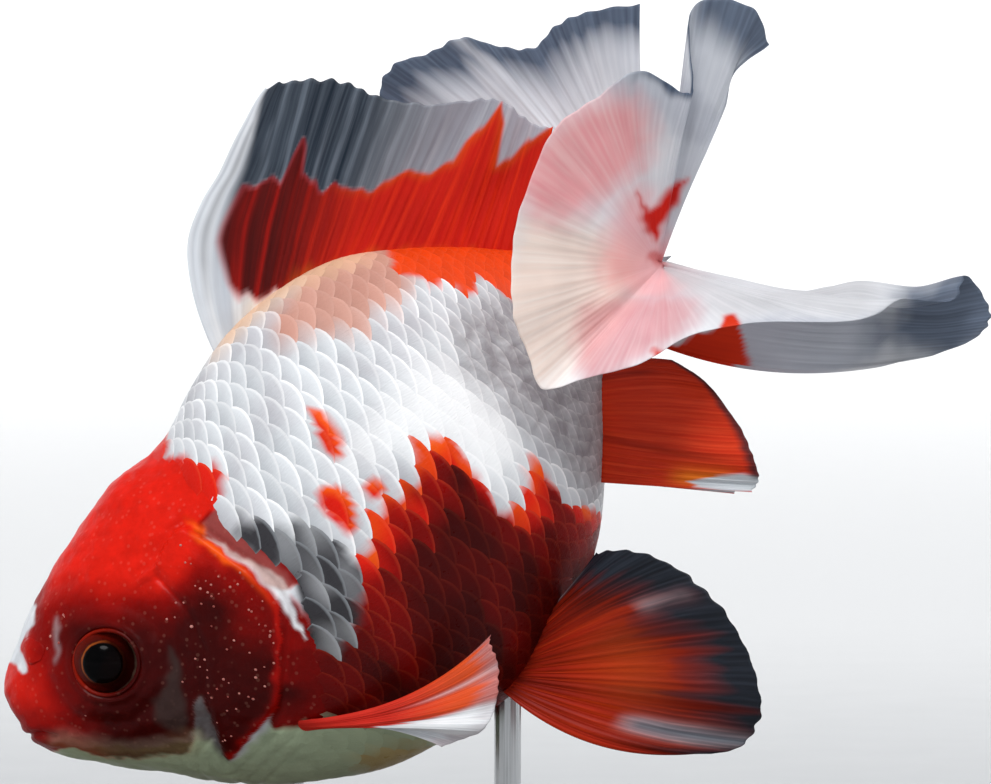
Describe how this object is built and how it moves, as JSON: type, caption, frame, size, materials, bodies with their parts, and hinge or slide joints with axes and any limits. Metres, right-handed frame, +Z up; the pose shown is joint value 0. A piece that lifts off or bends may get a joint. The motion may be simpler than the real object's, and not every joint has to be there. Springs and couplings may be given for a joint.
{
  "type": "fancy goldfish model on stand",
  "caption": "Life-size still model of a deep-bodied fancy goldfish with a double veil tail, nose down, held over a flat base by short steel rods.",
  "frame": {"origin": "middle of the stand base's underside, which lies on the floor", "axes": "+Z up; the fish looks along -X with its left flank towards -Y"},
  "size_m": [0.1514, 0.078, 0.1467],
  "materials": {
    "skin": "painted scales and skin, red and pearl white, wet gloss",
    "fin": "thin rayed membrane, white and pink with red and slate markings",
    "eye": "glossy black and dark gold",
    "wood": "dark oiled wood",
    "steel": "brushed"
  },
  "bodies": {
    "root": {"head": "skin", "gill_cover_left": "skin", "gill_cover_right": "skin", "nostril_flap_left": "skin", "nostril_flap_right": "skin", "trunk": "skin", "tail_stalk": "skin", "eye_left": "eye", "eye_right": "eye", "dorsal_fin": "fin", "pectoral_fin_left": "fin", "pectoral_fin_right": "fin", "pelvic_fin_left": "fin", "pelvic_fin_right": "fin", "anal_fin_left": "fin", "anal_fin_right": "fin", "tail_fin_left": "fin", "tail_fin_right": "fin", "stand_base": "wood", "stand_rod_front": "steel", "stand_rod_rear": "steel"}
  },
  "joints": []
}
